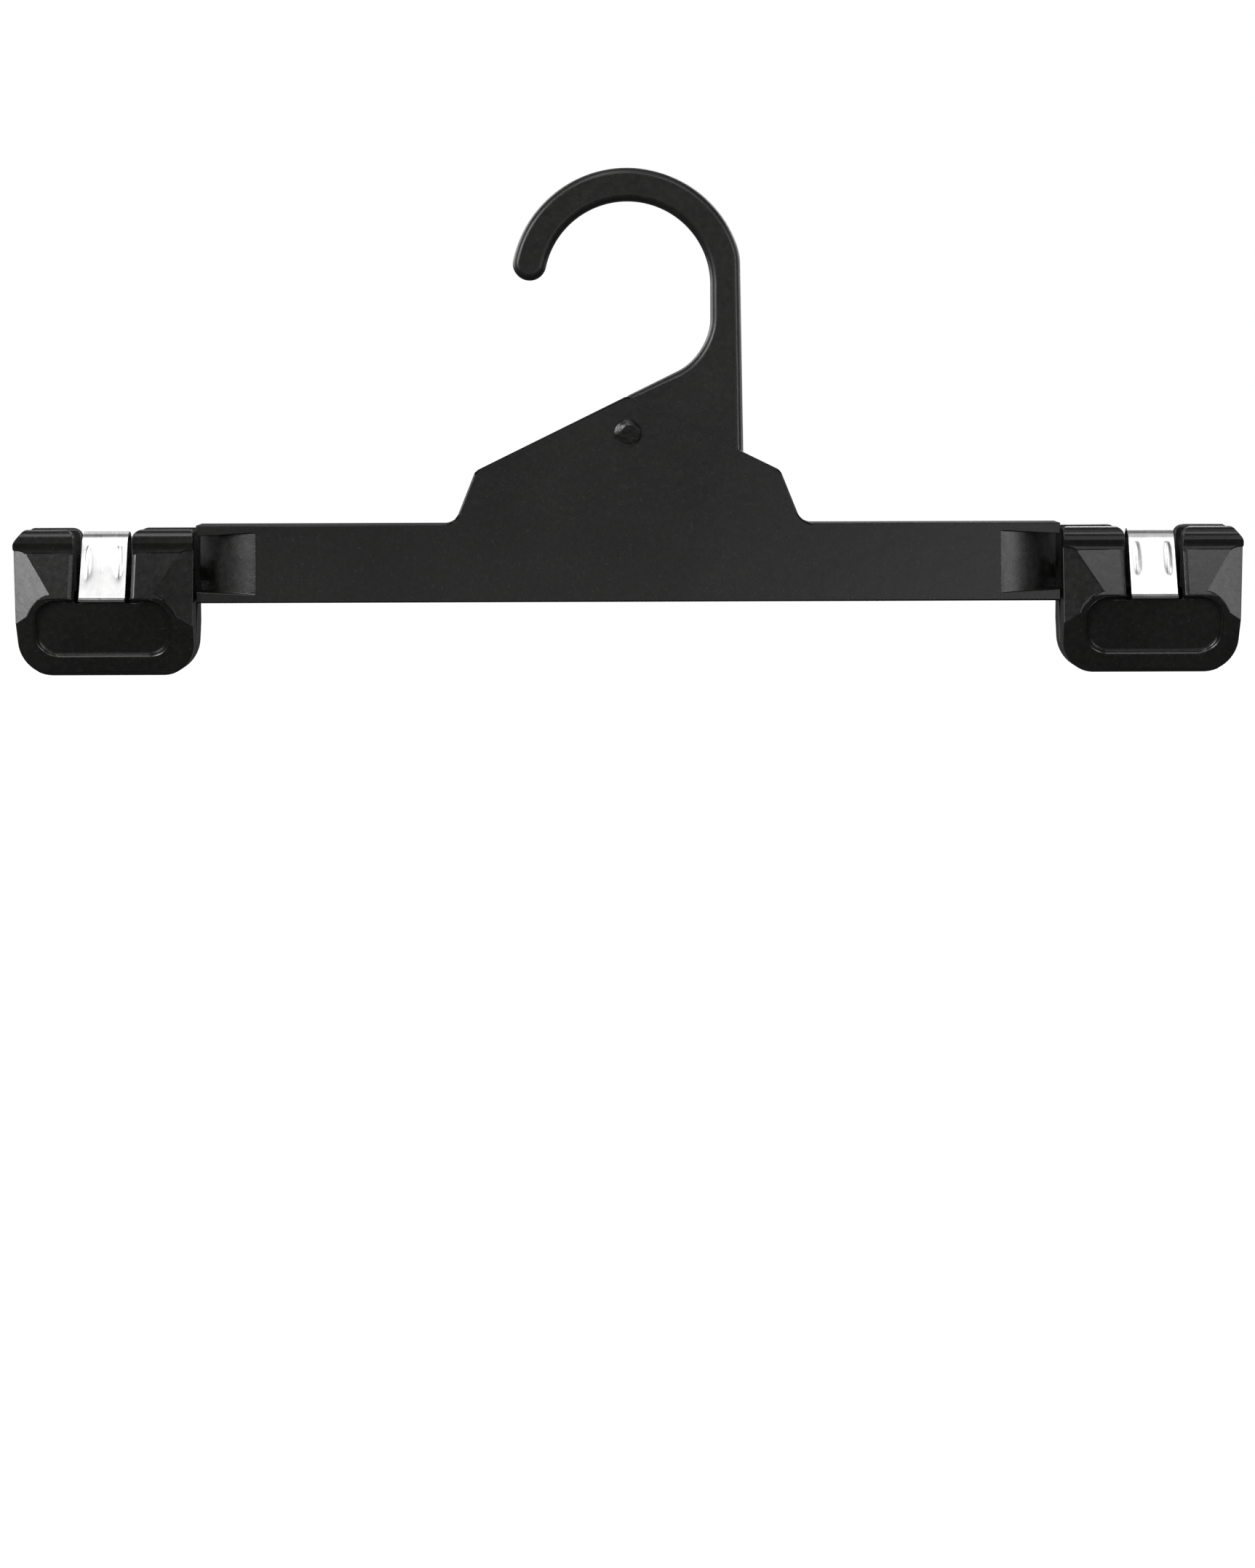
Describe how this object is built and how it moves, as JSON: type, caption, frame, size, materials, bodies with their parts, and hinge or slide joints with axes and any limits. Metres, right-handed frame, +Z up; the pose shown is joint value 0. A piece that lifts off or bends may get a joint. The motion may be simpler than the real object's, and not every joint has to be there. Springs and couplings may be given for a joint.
{
  "type": "skirt hanger",
  "caption": "Black plastic skirt hanger with a fixed rail hook, a straight bar and sprung pinch clips whose front jaws rock open to grip a waistband.",
  "frame": {"origin": "centre of the hook's inner arc, where the centre of a full-size rail lies, halfway through the hook's depth", "axes": "+X along the bar to the right seen from the front, +Y from the front to the back along the rail, +Z up"},
  "size_m": [0.254, 0.0176, 0.105],
  "materials": {
    "black_plastic": "satin, fine moulded grain",
    "spring_steel": "bright rolled strip"
  },
  "bodies": {
    "hanger": {"hanger_body": "black_plastic", "left_clip_spring": "spring_steel", "right_clip_spring": "spring_steel"},
    "left_jaw": {"left_clip_jaw": "black_plastic"},
    "right_jaw": {"right_clip_jaw": "black_plastic"}
  },
  "joints": [
    {"name": "left_clip_pinch", "type": "hinge", "parent": "hanger", "child": "left_jaw", "pos_m": [-0.10835, 0, -0.05995], "axis": [-1, 0, 0], "range_deg": [0, 28], "stiffness_Nm_per_rad": 0.35, "springref_deg": -28.65, "deforming": ["left_clip_spring"]},
    {"name": "right_clip_pinch", "type": "hinge", "parent": "hanger", "child": "right_jaw", "pos_m": [0.10835, 0, -0.05995], "axis": [-1, 0, 0], "range_deg": [0, 28], "stiffness_Nm_per_rad": 0.35, "springref_deg": -28.65, "deforming": ["right_clip_spring"]}
  ]
}
